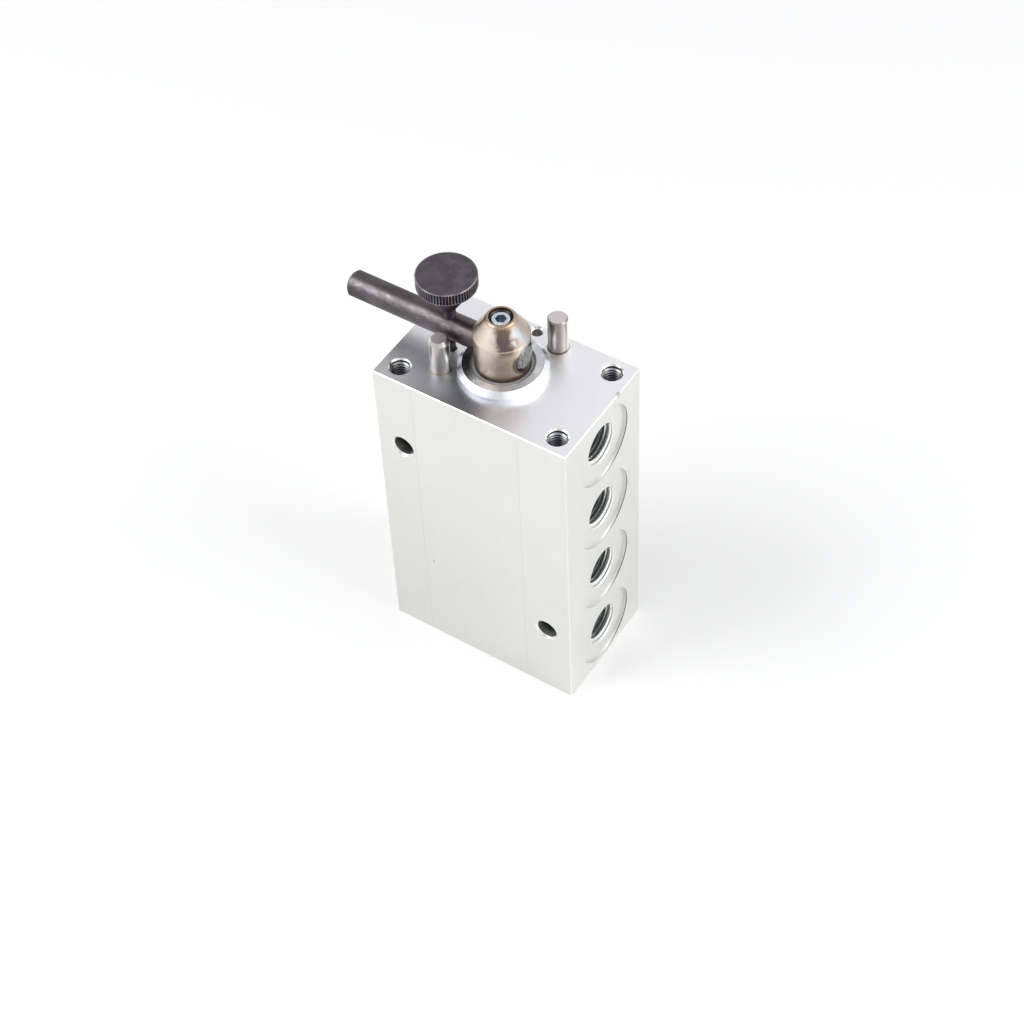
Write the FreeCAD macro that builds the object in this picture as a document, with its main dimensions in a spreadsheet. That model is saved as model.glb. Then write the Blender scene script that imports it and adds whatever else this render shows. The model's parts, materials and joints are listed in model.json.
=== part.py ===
import FreeCAD, Part
import math
import os
import Sketcher

# Four-port rotary selector valve with a lever and an index screw.
# Frame: +Z up, the origin in the middle of the block's top face. The spool's axis is a little off it.
# The ports open towards +X, and the lever at rest points along -X.

DIMENSIONS = {
    # Block
    "block_width": 65.0,
    "block_depth": 40.0,
    "block_height": 110.0,
    "edge_break": 0.25,
    # Ports, spread evenly over the side
    "port_count": 4,
    "port_thread_diameter": 13.157,
    "port_thread_depth": 13.0,
    "port_mouth_diameter": 14.0,
    "port_drill_point": 2.0,
    "spotface_land": 1.5,
    "spotface_depth": 0.8,
    "passage_diameter": 7.0,
    # Tapped holes in three corners of the top face
    "corner_inset_side": 6.0,
    "corner_inset_front": 5.5,
    "corner_thread_diameter": 6.0,
    "corner_thread_depth": 12.0,
    "corner_mouth_diameter": 6.8,
    "corner_drill_point": 1.5,
    # Through holes from front to back
    "cross_inset_side": 8.5,
    "cross_diameter": 6.6,
    "cross_mouth_diameter": 7.8,
    # Spool and its bore
    "axis_left_of_middle": 0.5,
    "axis_front_of_middle": 0.3,
    "spool_diameter": 20.0,
    "running_clearance": 0.03,
    "end_play": 0.1,
    "spool_bottom": 7.0,
    "spool_edge_break": 0.3,
    "slot_width": 8.0,
    "slot_depth": 5.0,
    "core_diameter": 6.0,
    "core_inlet_step": 0.4,
    "core_plug_diameter": 7.5,
    "core_plug_length": 2.6,
    "core_drill_point": 1.6,
    # Head on top of the spool
    "head_shoulder": 1.75,
    "head_straight_height": 15.0,
    "head_cone_height": 6.2,
    "head_cone_width": 3.8,
    "head_rim_break": 0.3,
    # Gland ring
    "gland_flange_overhang": 1.25,
    "gland_flange_height": 3.3,
    "gland_bevel_width": 1.45,
    "gland_bevel_height": 1.7,
    "gland_thread_step": 1.2,
    "gland_thread_length": 4.6,
    "gland_spigot_wall": 2.52,
    "gland_spigot_length": 3.5,
    "spanner_hole_diameter": 1.6,
    "spanner_hole_depth": 1.2,
    "spanner_hole_inset": 2.55,
    "spanner_hole_angle": 75.5,
    # Seals
    "stem_seal_section": 1.6,
    "stem_groove_width": 3.4,
    "stem_groove_start": 0.4,
    "static_seal_section": 1.2,
    "static_groove_width": 2.3,
    "static_groove_start": 0.6,
    "plug_seal_section": 1.4,
    "plug_groove_width": 2.8,
    "backup_thickness": 0.9,
    "seal_slack": 0.05,
    "wiper_width": 1.1,
    "wiper_height": 1.9,
    "wiper_recess": 0.3,
    # Thrust washers
    "washer_thickness": 1.0,
    "washer_side_gap": 0.2,
    "lower_washer_hole": 8.6,
    # Bottom end of the bore
    "end_lip": 0.8,
    "circlip_thickness": 1.0,
    "circlip_groove_depth": 0.7,
    "circlip_width": 2.4,
    "circlip_slot": 6.0,
    "circlip_play": 0.05,
    "end_plug_height": 3.9,
    "end_plug_thread_diameter": 4.2,
    "end_plug_thread_depth": 2.2,
    # Lever rod
    "rod_diameter": 8.0,
    "rod_height": 9.0,
    "rod_reach": 51.4,
    "rod_end_recess": 0.25,
    "rod_edge_break": 0.8,
    "rod_clearance": 0.05,
    "rod_mouth_depth": 1.2,
    "rod_mouth_widening": 0.55,
    # Set screw that clamps the rod
    "set_screw_diameter": 6.0,
    "set_screw_clearance": 0.05,
    "set_screw_recess": 0.85,
    "set_screw_bevel": 0.4,
    "set_screw_tip_diameter": 4.0,
    "set_screw_socket": 3.0,
    "set_screw_socket_depth": 3.2,
    "set_screw_mouth_depth": 0.75,
    "set_screw_mouth_widening": 0.45,
    # Index screw
    "index_edge_distance": 2.25,
    "index_diameter": 4.0,
    "index_head_diameter": 17.8,
    "index_head_height": 4.0,
    "index_head_bevel": 0.3,
    "index_collar_diameter": 8.8,
    "index_collar_length": 5.5,
    "index_cone_length": 3.2,
    "index_neck_diameter": 4.6,
    "index_neck_gap": 3.1,
    "index_tip_diameter": 2.4,
    "index_tip_clearance": 0.5,
    "index_tip_length": 1.5,
    "index_tip_bevel": 0.7,
    # Detent holes
    "detent_diameter": 3.0,
    "detent_mouth_diameter": 4.2,
    "detent_depth": 4.0,
    # Stop pins
    "pin_diameter": 6.0,
    "pin_height": 11.8,
    "pin_seat_depth": 14.0,
    "pin_setback": 2.0,
    "pin_rod_gap": 1.5,
    "left_pin_bevel_height": 1.2,
    "left_pin_bevel_width": 0.8,
    "right_pin_bevel_height": 0.5,
    "right_pin_bevel_width": 0.4,
    "pin_hole_break": 0.35,
    "pin_hole_clearance": 0.01,
}


class Length:
    """A length that keeps the formula that ties it to the sheet."""

    def __init__(self, value, formula=None):
        self.value = float(value)
        self.formula = formula if formula is not None else repr(float(value))

    def join(self, other, sign, result):
        other = other if isinstance(other, Length) else Length(other)
        return Length(result(self.value, other.value), f"({self.formula} {sign} {other.formula})")

    def __add__(self, other):
        return self.join(other, "+", lambda a, b: a + b)

    def __sub__(self, other):
        return self.join(other, "-", lambda a, b: a - b)

    def __mul__(self, other):
        return self.join(other, "*", lambda a, b: a * b)

    def __truediv__(self, other):
        return self.join(other, "/", lambda a, b: a / b)

    def __neg__(self):
        return Length(-self.value, f"(-1 * {self.formula})")


class Sizes:
    """The driving dimensions by name, each as a Length."""

    def __init__(self, values):
        for alias, value in values.items():
            setattr(self, alias, Length(value, f"Dims.{alias}"))


doc = FreeCAD.newDocument("selector_valve")
sheet = doc.addObject("Spreadsheet::Sheet", "Dims")
for row, (alias, value) in enumerate(DIMENSIONS.items(), start=1):
    sheet.set(f"A{row}", alias.replace("_", " "))
    sheet.set(f"B{row}", str(value))
    sheet.setAlias(f"B{row}", alias)
doc.recompute()
dim = Sizes(DIMENSIONS)
zero = Length(0.0)

# Heights and radii that several pieces share

top = zero
bottom = -dim.block_height
half_width = dim.block_width / 2
half_depth = dim.block_depth / 2
axis_across = -dim.axis_left_of_middle
axis_along = -dim.axis_front_of_middle
port_pitch = dim.block_height / dim.port_count
port_heights = [top - port_pitch * (index + 0.5) for index in range(int(DIMENSIONS["port_count"]))]
spotface_radius = (port_pitch - dim.spotface_land) / 2
spool_radius = dim.spool_diameter / 2
bore_radius = spool_radius + dim.running_clearance
head_radius = spool_radius - dim.head_shoulder
stem_bore_radius = head_radius + dim.running_clearance
spigot_radius = stem_bore_radius + dim.gland_spigot_wall
gland_thread_radius = spigot_radius + dim.gland_thread_step
flange_radius = gland_thread_radius + dim.gland_flange_overhang
gland_bottom = top - dim.gland_thread_length - dim.gland_spigot_length
counterbore_bottom = gland_bottom - dim.end_play
spool_shoulder = gland_bottom - dim.washer_thickness - dim.end_play * 2
spool_low = bottom + dim.spool_bottom
circlip_low = bottom + dim.end_lip
end_plug_bottom = circlip_low + dim.circlip_thickness + dim.circlip_play * 2
rod_axis = top + dim.rod_height
rod_radius = dim.rod_diameter / 2
rod_top = rod_axis + rod_radius
rod_length = dim.rod_reach + head_radius - dim.rod_end_recess
head_top = top + dim.head_straight_height + dim.head_cone_height
passage_radius = dim.passage_diameter / 2
index_radius = half_depth - dim.index_edge_distance
pin_radius = dim.pin_diameter / 2
pin_along = index_radius - dim.pin_setback
pin_across = rod_radius + dim.pin_rod_gap + pin_radius

sub_parts = []


def new_body(label):
    """Start a sub-part as a body of its own."""
    body = doc.addObject("PartDesign::Body", label)
    body.Label = label
    sub_parts.append(body)
    return body


def origin_plane(body, role):
    return next(item for item in body.Origin.OriginFeatures if item.Role == role)


def new_sketch(body, name, role, offset=(zero, zero, zero)):
    """A sketch on one of the body's origin planes, shifted by three lengths in the sketch's own axes."""
    sketch = body.newObject("Sketcher::SketchObject", name)
    sketch.AttachmentSupport = [(origin_plane(body, role), "")]
    sketch.MapMode = "FlatFace"
    shift = FreeCAD.Vector(*[length.value for length in offset])
    sketch.AttachmentOffset = FreeCAD.Placement(shift, FreeCAD.Rotation())
    for axis, length in zip("xyz", offset):
        if length is not zero:
            sketch.setExpression(f"AttachmentOffset.Base.{axis}", length.formula)
    return sketch


def pin_point(sketch, geometry, end, across, along):
    """Hold one end of a line at two lengths from the sketch's origin."""
    for kind, axis, length in (("DistanceX", -2, across), ("DistanceY", -1, along)):
        if length is zero:
            sketch.addConstraint(Sketcher.Constraint("PointOnObject", geometry, end, axis))
        else:
            number = sketch.addConstraint(
                Sketcher.Constraint(kind, -1, 1, geometry, end, length.value)
            )
            sketch.setExpression(f"Constraints[{number}]", length.formula)


def draw_outline(sketch, points):
    """A closed outline of straight lines through the points."""
    count = len(points)
    corners = [FreeCAD.Vector(across.value, along.value, 0) for across, along in points]
    for index in range(count):
        sketch.addGeometry(Part.LineSegment(corners[index], corners[(index + 1) % count]))
    for index in range(count):
        sketch.addConstraint(Sketcher.Constraint("Coincident", index, 2, (index + 1) % count, 1))
    for index, (across, along) in enumerate(points):
        pin_point(sketch, index, 1, across, along)


def draw_slot(sketch, low, high, width):
    """A slot with round ends on the sketch's upright axis, from low to high."""
    radius = width / 2
    centres = (low + radius, high - radius)
    r = radius.value
    lower, upper = [centre.value for centre in centres]
    vector = FreeCAD.Vector
    normal = vector(0, 0, 1)
    sketch.addGeometry(Part.LineSegment(vector(r, lower, 0), vector(r, upper, 0)))
    sketch.addGeometry(Part.ArcOfCircle(Part.Circle(vector(0, upper, 0), normal, r), 0, math.pi))
    sketch.addGeometry(Part.LineSegment(vector(-r, upper, 0), vector(-r, lower, 0)))
    sketch.addGeometry(Part.ArcOfCircle(Part.Circle(vector(0, lower, 0), normal, r), math.pi, 2 * math.pi))
    for first, first_end, second, second_end in ((0, 2, 1, 1), (1, 2, 2, 1), (2, 2, 3, 1), (3, 2, 0, 1)):
        sketch.addConstraint(Sketcher.Constraint("Tangent", first, first_end, second, second_end))
    for arc, centre in ((1, centres[1]), (3, centres[0])):
        pin_point(sketch, arc, 3, zero, centre)
    number = sketch.addConstraint(Sketcher.Constraint("Radius", 1, r))
    sketch.setExpression(f"Constraints[{number}]", radius.formula)


def finish_cut(body, feature, before):
    """Make sure that a cut took material away."""
    doc.recompute()
    if not body.Shape.Volume < before - 1e-6:
        raise RuntimeError(f"{feature.Name} in {body.Label} cuts nothing")


def revolve(body, name, points, role="XZ_Plane", axis="V_Axis", offset=(zero, zero, zero), cut=False):
    """Turn an outline about one of its sketch's axes, as material or as a cut."""
    sketch = new_sketch(body, f"{name}_profile", role, offset)
    draw_outline(sketch, points)
    doc.recompute()
    before = body.Shape.Volume if cut else 0.0
    feature = body.newObject("PartDesign::Groove" if cut else "PartDesign::Revolution", name)
    feature.Profile = sketch
    feature.ReferenceAxis = (sketch, [axis])
    feature.Angle = 360.0
    sketch.Visibility = False
    if cut:
        finish_cut(body, feature, before)
    return feature


def pocket(body, name, sketch, depth, reverse=False):
    """Cut a sketch into the body to a depth."""
    doc.recompute()
    before = body.Shape.Volume
    feature = body.newObject("PartDesign::Pocket", name)
    feature.Profile = sketch
    feature.Length = depth.value
    feature.setExpression("Length", depth.formula)
    feature.Reversed = reverse
    sketch.Visibility = False
    finish_cut(body, feature, before)
    return feature


def drill_down(body, name, place, points):
    """Cut a turned hole with an upright axis at a place on the plan."""
    across, along = place
    revolve(body, name, points, offset=(across, zero, -along), cut=True)


def put_on_axis(part):
    """Move a sub-part that was drawn about the origin onto the spool's axis."""
    part.Placement.Base.x = axis_across.value
    part.Placement.Base.y = axis_along.value
    part.setExpression("Placement.Base.x", axis_across.formula)
    part.setExpression("Placement.Base.y", axis_along.formula)


def ring(label, inner, outer, low, high):
    """A plain ring of rectangular section about the spool's axis."""
    body = new_body(label)
    revolve(body, f"{label}_ring", [(inner, low), (outer, low), (outer, high), (inner, high)])
    return body


def seal_ring(label, inner, section, middle):
    """A round-section sealing ring about the spool's axis."""
    torus = doc.addObject("Part::Torus", label)
    torus.Label = label
    radius = inner + section / 2
    torus.Radius1 = radius.value
    torus.Radius2 = section.value / 2
    torus.setExpression("Radius1", radius.formula)
    torus.setExpression("Radius2", (section / 2).formula)
    torus.Placement.Base.z = middle.value
    torus.setExpression("Placement.Base.z", middle.formula)
    sub_parts.append(torus)
    return torus


# Places on the plan of the top face: the corners from the block's middle, the rest from the spool's axis

corner_across = half_width - dim.corner_inset_side
corner_along = half_depth - dim.corner_inset_front
corner_places = {
    "front_left": (-corner_across, -corner_along),
    "front_right": (corner_across, -corner_along),
    "back_right": (corner_across, corner_along),
}
pin_places = {
    "left": (-pin_along, -pin_across),
    "right": (pin_across, pin_along),
}
detent_places = {
    "rest": (-index_radius, zero),
    "turned": (zero, index_radius),
}
cross_places = {
    "upper": (-(half_width - dim.cross_inset_side), top - port_pitch),
    "lower": (half_width - dim.cross_inset_side, bottom + port_pitch),
}


def make_block():
    """The machined block with its stepped bore, ports and holes."""
    body = new_body("valve_body")
    sketch = new_sketch(body, "block_plan", "XY_Plane", (zero, zero, bottom))
    corners = [(-half_width, -half_depth), (half_width, -half_depth), (half_width, half_depth),
               (-half_width, half_depth)]
    draw_outline(sketch, corners)
    pad = body.newObject("PartDesign::Pad", "block_pad")
    pad.Profile = sketch
    pad.Length = dim.block_height.value
    pad.setExpression("Length", dim.block_height.formula)
    sketch.Visibility = False
    doc.recompute()
    edges = body.newObject("PartDesign::Chamfer", "block_edges")
    edges.Base = (pad, [f"Edge{number + 1}" for number in range(len(pad.Shape.Edges))])
    edges.Size = dim.edge_break.value
    edges.setExpression("Size", dim.edge_break.formula)
    doc.recompute()

    groove_radius = bore_radius + dim.circlip_groove_depth
    thread_bottom = top - dim.gland_thread_length
    revolve(body, "spool_bore", [
        (zero, bottom), (bore_radius + dim.edge_break, bottom), (bore_radius, bottom + dim.edge_break),
        (bore_radius, circlip_low), (groove_radius, circlip_low), (groove_radius, end_plug_bottom),
        (bore_radius, end_plug_bottom), (bore_radius, counterbore_bottom),
        (spigot_radius + dim.running_clearance, counterbore_bottom),
        (spigot_radius + dim.running_clearance, thread_bottom),
        (gland_thread_radius, thread_bottom), (gland_thread_radius, top), (zero, top),
    ], offset=(axis_across, zero, -axis_along), cut=True)

    make_ports(body)

    corner_radius = dim.corner_thread_diameter / 2
    corner_mouth = dim.corner_mouth_diameter / 2
    corner_floor = top - dim.corner_thread_depth
    for name, place in corner_places.items():
        drill_down(body, f"corner_hole_{name}", place, [
            (zero, corner_floor - dim.corner_drill_point), (corner_radius, corner_floor),
            (corner_radius, top - (corner_mouth - corner_radius)), (corner_mouth, top), (zero, top),
        ])

    cross_radius = dim.cross_diameter / 2
    cross_mouth = dim.cross_mouth_diameter / 2
    mouth_depth = cross_mouth - cross_radius
    for name, (across, height) in cross_places.items():
        revolve(body, f"cross_hole_{name}", [
            (zero, zero), (zero, cross_mouth), (mouth_depth, cross_radius),
            (dim.block_depth - mouth_depth, cross_radius), (dim.block_depth, cross_mouth),
            (dim.block_depth, zero),
        ], role="YZ_Plane", axis="H_Axis", offset=(-half_depth, height, across), cut=True)

    hole_radius = pin_radius + dim.pin_hole_clearance
    for name, (across, along) in pin_places.items():
        drill_down(body, f"pin_hole_{name}", (axis_across + across, axis_along + along), [
            (zero, top - dim.pin_seat_depth), (hole_radius, top - dim.pin_seat_depth),
            (hole_radius, top - dim.pin_hole_break), (hole_radius + dim.pin_hole_break, top), (zero, top),
        ])

    detent_radius = dim.detent_diameter / 2
    detent_mouth = dim.detent_mouth_diameter / 2
    for name, (across, along) in detent_places.items():
        drill_down(body, f"detent_{name}", (axis_across + across, axis_along + along), [
            (zero, top - dim.detent_depth - detent_radius), (detent_radius, top - dim.detent_depth),
            (detent_radius, top - (detent_mouth - detent_radius)), (detent_mouth, top), (zero, top),
        ])
    return body


def make_ports(body):
    """One threaded port with its spotface, repeated down the side."""
    thread_radius = dim.port_thread_diameter / 2
    mouth_radius = dim.port_mouth_diameter / 2
    face = half_width - dim.spotface_depth
    thread_end = face - dim.port_thread_depth
    port = revolve(body, "port", [
        (zero, zero), (zero, passage_radius), (thread_end - dim.port_drill_point, passage_radius),
        (thread_end, thread_radius), (face - (mouth_radius - thread_radius), thread_radius),
        (face, mouth_radius), (face, spotface_radius), (half_width, spotface_radius), (half_width, zero),
    ], axis="H_Axis", offset=(zero, port_heights[-1], zero), cut=True)
    column = body.newObject("PartDesign::LinearPattern", "port_column")
    column.Originals = [port]
    column.Direction = (port.Profile[0], ["V_Axis"])
    span = port_pitch * (dim.port_count - 1)
    column.Length = span.value
    column.setExpression("Length", span.formula)
    column.Occurrences = int(DIMENSIONS["port_count"])
    column.setExpression("Occurrences", dim.port_count.formula)
    before = body.Shape.Volume
    body.Tip = column
    finish_cut(body, column, before)


def make_spool():
    """The rotary spool: two slots that link the ports in pairs, a cored path and the lever head."""
    body = new_body("rotary_spool")
    rim_radius = head_radius - dim.head_cone_width
    edge = dim.spool_edge_break
    screw_hole_radius = dim.set_screw_diameter / 2 + dim.set_screw_clearance
    straight_top = top + dim.head_straight_height
    core_radius = dim.core_diameter / 2
    inlet_radius = core_radius - dim.core_inlet_step
    plug_radius = dim.core_plug_diameter / 2
    plug_top = spool_low + dim.core_plug_length
    core_top = port_heights[0] + core_radius
    revolve(body, "spool_turning", [
        (zero, spool_low), (spool_radius - edge, spool_low),
        (spool_radius, spool_low + edge), (spool_radius, spool_shoulder - edge),
        (spool_radius - edge, spool_shoulder), (head_radius, spool_shoulder), (head_radius, straight_top),
        (rim_radius, head_top - dim.head_rim_break), (rim_radius - dim.head_rim_break, head_top),
        (zero, head_top),
    ])
    revolve(body, "core_drilling", [
        (zero, spool_low), (plug_radius, spool_low), (plug_radius, plug_top),
        (core_radius, plug_top), (core_radius, core_top), (zero, core_top + dim.core_drill_point),
    ], cut=True)
    for index in (0, -1):
        revolve(body, f"core_inlet_{index % len(port_heights) + 1}", [
            (zero, zero), (spool_radius, zero), (spool_radius, inlet_radius), (zero, inlet_radius),
        ], role="YZ_Plane", axis="H_Axis", offset=(zero, port_heights[index], zero), cut=True)

    pairs = [("first", port_heights[1], port_heights[0]), ("second", port_heights[3], port_heights[2])]
    for name, low, high in pairs:
        sketch = new_sketch(body, f"slot_{name}_outline", "YZ_Plane", (zero, zero, spool_radius))
        draw_slot(sketch, low - passage_radius, high + passage_radius, dim.slot_width)
        pocket(body, f"slot_{name}", sketch, dim.slot_depth)
    sketch = new_sketch(body, "slot_middle_outline", "XZ_Plane", (zero, zero, -spool_radius))
    draw_slot(sketch, port_heights[2] - passage_radius, port_heights[1] + passage_radius, dim.slot_width)
    pocket(body, "slot_middle", sketch, dim.slot_depth, reverse=True)

    rod_hole_radius = rod_radius + dim.rod_clearance
    reach = head_radius + dim.rod_mouth_depth / 2
    cone = dim.rod_mouth_depth * 1.5
    mouth = rod_hole_radius + dim.rod_mouth_widening * 1.5
    revolve(body, "rod_hole", [
        (zero, zero), (zero, mouth), (cone, rod_hole_radius), (reach * 2 - cone, rod_hole_radius),
        (reach * 2, mouth), (reach * 2, zero),
    ], axis="H_Axis", offset=(-reach, rod_axis, zero), cut=True)
    mouth_low = head_top - dim.set_screw_mouth_depth
    mouth_radius = screw_hole_radius + dim.set_screw_mouth_widening
    revolve(body, "set_screw_hole", [
        (zero, rod_axis), (screw_hole_radius, rod_axis),
        (screw_hole_radius, mouth_low - dim.set_screw_mouth_widening), (mouth_radius, mouth_low),
        (mouth_radius, head_top), (zero, head_top),
    ], cut=True)
    return body


def make_core_plug():
    """The plug that closes the spool's core drilling."""
    body = new_body("spool_core_plug")
    radius = dim.core_plug_diameter / 2 - dim.seal_slack
    low = spool_low + dim.seal_slack
    high = spool_low + dim.core_plug_length
    bevel = dim.spool_edge_break
    revolve(body, "core_plug", [
        (zero, low), (radius - bevel, low), (radius, low + bevel), (radius, high), (zero, high),
    ])
    return body


def make_gland():
    """The threaded gland ring that holds the spool down and carries its seals."""
    body = new_body("gland_ring")
    flange = flange_radius
    flange_top = top + dim.gland_flange_height
    thread = gland_thread_radius - dim.seal_slack
    thread_bottom = top - dim.gland_thread_length
    spigot = spigot_radius
    groove_high = thread_bottom - dim.static_groove_start
    groove_low = groove_high - dim.static_groove_width
    groove_floor = spigot - dim.static_seal_section
    stem_high = top - dim.stem_groove_start
    stem_low = stem_high - dim.stem_groove_width
    stem_floor = stem_bore_radius + dim.stem_seal_section + dim.seal_slack
    wiper_radius = stem_bore_radius + dim.wiper_width + dim.seal_slack
    wiper_floor = flange_top - dim.wiper_recess - dim.wiper_height
    revolve(body, "gland_turning", [
        (stem_bore_radius, gland_bottom), (spigot, gland_bottom), (spigot, groove_low),
        (groove_floor, groove_low), (groove_floor, groove_high), (spigot, groove_high),
        (spigot, thread_bottom), (thread, thread_bottom), (thread, top), (flange, top),
        (flange, flange_top - dim.gland_bevel_height), (flange - dim.gland_bevel_width, flange_top),
        (wiper_radius, flange_top), (wiper_radius, wiper_floor), (stem_bore_radius, wiper_floor),
        (stem_bore_radius, stem_high), (stem_floor, stem_high), (stem_floor, stem_low),
        (stem_bore_radius, stem_low),
    ])
    hole_radius = dim.spanner_hole_diameter / 2
    spanner_radius = flange - dim.spanner_hole_inset
    angle = math.radians(DIMENSIONS["spanner_hole_angle"])
    for index, sign in enumerate((1, -1), start=1):
        place = (spanner_radius * (sign * math.cos(angle)), spanner_radius * (sign * math.sin(angle)))
        drill_down(body, f"spanner_hole_{index}", place, [
            (zero, flange_top - dim.spanner_hole_depth), (hole_radius, flange_top - dim.spanner_hole_depth),
            (hole_radius, flange_top), (zero, flange_top),
        ])
    return body


def make_gland_seals():
    """The rings that seal the gland in the block, and the spool's neck in the gland."""
    spigot = spigot_radius
    static_high = top - dim.gland_thread_length - dim.static_groove_start
    static_inner = spigot - dim.static_seal_section
    seal_ring("gland_o_ring", static_inner, dim.static_seal_section,
              static_high - dim.backup_thickness - dim.static_seal_section / 2)
    ring("gland_backup_ring", static_inner, spigot,
         static_high - dim.backup_thickness + dim.seal_slack, static_high)
    stem_high = top - dim.stem_groove_start
    stem_outer = stem_bore_radius + dim.stem_seal_section
    seal_ring("stem_o_ring", stem_bore_radius, dim.stem_seal_section,
              stem_high - dim.backup_thickness - dim.stem_seal_section / 2 - dim.seal_slack)
    ring("stem_backup_ring", stem_bore_radius, stem_outer, stem_high - dim.backup_thickness, stem_high)
    wiper_top = top + dim.gland_flange_height - dim.wiper_recess
    wiper_low = wiper_top - dim.wiper_height
    wiper = new_body("wiper_ring")
    lip = dim.wiper_width / 2
    revolve(wiper, "wiper_turning", [
        (stem_bore_radius, wiper_low), (stem_bore_radius + dim.wiper_width, wiper_low),
        (stem_bore_radius + dim.wiper_width, wiper_top - lip), (stem_bore_radius + lip, wiper_top - lip),
        (stem_bore_radius + lip / 2, wiper_top), (stem_bore_radius, wiper_top),
    ])


def make_washers():
    """The two thrust washers that the spool turns between."""
    outer = bore_radius - dim.washer_side_gap
    high = gland_bottom - dim.end_play
    ring("upper_thrust_washer", head_radius + dim.washer_side_gap, outer, high - dim.washer_thickness, high)
    low = spool_low - dim.end_play - dim.washer_thickness
    ring("lower_thrust_washer", dim.lower_washer_hole / 2, outer, low, low + dim.washer_thickness)


def make_bottom_end():
    """The plug that closes the bore, its seal and the ring that holds it."""
    plug = new_body("bottom_end_plug")
    plug_top = end_plug_bottom + dim.end_plug_height
    land = (dim.end_plug_height - dim.plug_groove_width) / 2
    groove_low = end_plug_bottom + land
    groove_high = groove_low + dim.plug_groove_width
    groove_floor = spool_radius - dim.plug_seal_section
    thread = dim.end_plug_thread_diameter / 2
    thread_top = end_plug_bottom + dim.end_plug_thread_depth
    revolve(plug, "end_plug", [
        (thread, end_plug_bottom), (spool_radius, end_plug_bottom), (spool_radius, groove_low),
        (groove_floor, groove_low), (groove_floor, groove_high), (spool_radius, groove_high),
        (spool_radius, plug_top), (zero, plug_top), (zero, thread_top), (thread, thread_top),
    ])
    seal_ring("end_plug_o_ring", groove_floor, dim.plug_seal_section,
              groove_low + dim.backup_thickness + dim.plug_seal_section / 2 + dim.seal_slack)
    ring("end_plug_backup_ring", groove_floor, spool_radius, groove_low, groove_low + dim.backup_thickness)

    clip = new_body("bore_circlip")
    clip_outer = bore_radius + dim.circlip_groove_depth - dim.circlip_play
    clip_inner = clip_outer - dim.circlip_width
    clip_low = circlip_low + dim.circlip_play
    clip_high = clip_low + dim.circlip_thickness
    revolve(clip, "circlip_ring", [
        (clip_inner, clip_low), (clip_outer, clip_low), (clip_outer, clip_high), (clip_inner, clip_high),
    ])
    sketch = new_sketch(clip, "circlip_mouth", "XY_Plane", (zero, zero, clip_low))
    half_slot = dim.circlip_slot / 2
    reach = clip_outer + dim.circlip_play
    draw_outline(sketch, [(-half_slot, zero), (half_slot, zero), (half_slot, reach), (-half_slot, reach)])
    pocket(clip, "circlip_gap", sketch, dim.circlip_thickness, reverse=True)


def make_rod():
    """The lever rod, with the tapped hole for the index screw."""
    body = new_body("lever_rod")
    radius = rod_radius
    edge = dim.rod_edge_break
    revolve(body, "rod_turning", [
        (zero, zero), (zero, radius - edge), (edge, radius), (rod_length - edge, radius),
        (rod_length, radius - edge), (rod_length, zero),
    ], axis="H_Axis", offset=(-dim.rod_reach, rod_axis, zero))
    hole_radius = dim.index_diameter / 2 + dim.running_clearance
    low = rod_axis - radius * 1.25
    high = rod_axis + radius * 1.25
    drill_down(body, "index_hole", (-index_radius, zero), [
        (zero, low), (hole_radius, low), (hole_radius, high), (zero, high),
    ])
    return body


def make_set_screw():
    """The socket set screw in the top of the head, which clamps the rod."""
    body = new_body("lever_set_screw")
    radius = dim.set_screw_diameter / 2
    bevel = dim.set_screw_bevel
    tip = dim.set_screw_tip_diameter / 2
    screw_top = head_top - dim.set_screw_recess
    revolve(body, "set_screw_turning", [
        (zero, rod_top), (tip, rod_top), (radius, rod_top + (radius - tip)),
        (radius, screw_top - bevel), (radius - bevel, screw_top), (zero, screw_top),
    ])
    sketch = new_sketch(body, "socket_outline", "XY_Plane", (zero, zero, screw_top))
    corner_reach = dim.set_screw_socket / math.sqrt(3)
    corners = []
    for step in range(6):
        turn = math.radians(60 * step + 30)
        across = zero if abs(math.cos(turn)) < 1e-9 else corner_reach * math.cos(turn)
        corners.append((across, corner_reach * math.sin(turn)))
    draw_outline(sketch, corners)
    pocket(body, "socket", sketch, dim.set_screw_socket_depth)
    return body


def make_index_screw():
    """The thumb screw through the rod, whose tip drops into a detent hole."""
    body = new_body("index_screw")
    neck_low = rod_top + dim.index_neck_gap
    collar_low = neck_low + dim.index_cone_length
    head_low = collar_low + dim.index_collar_length
    head_high = head_low + dim.index_head_height
    head = dim.index_head_diameter / 2
    bevel = dim.index_head_bevel
    shank = dim.index_diameter / 2
    tip = dim.index_tip_diameter / 2
    tip_low = top + dim.index_tip_clearance
    tip_high = tip_low + dim.index_tip_length
    revolve(body, "index_screw_turning", [
        (zero, tip_low), (tip, tip_low), (tip, tip_high), (shank, tip_high + dim.index_tip_bevel),
        (shank, neck_low), (dim.index_neck_diameter / 2, neck_low),
        (dim.index_collar_diameter / 2, collar_low),
        (dim.index_collar_diameter / 2, head_low), (head - bevel, head_low), (head, head_low + bevel),
        (head, head_high - bevel), (head - bevel, head_high), (zero, head_high),
    ], offset=(-index_radius, zero, zero))
    return body


def make_stop_pin(name, place, bevel_width, bevel_height):
    """A dowel pin that stops the lever."""
    body = new_body(f"stop_pin_{name}")
    low = top - dim.pin_seat_depth
    high = top + dim.pin_height
    across, along = place
    revolve(body, f"pin_{name}", [
        (zero, low), (pin_radius - bevel_width, low), (pin_radius, low + bevel_height),
        (pin_radius, high - bevel_height), (pin_radius - bevel_width, high), (zero, high),
    ], offset=(across, zero, -along))


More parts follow.
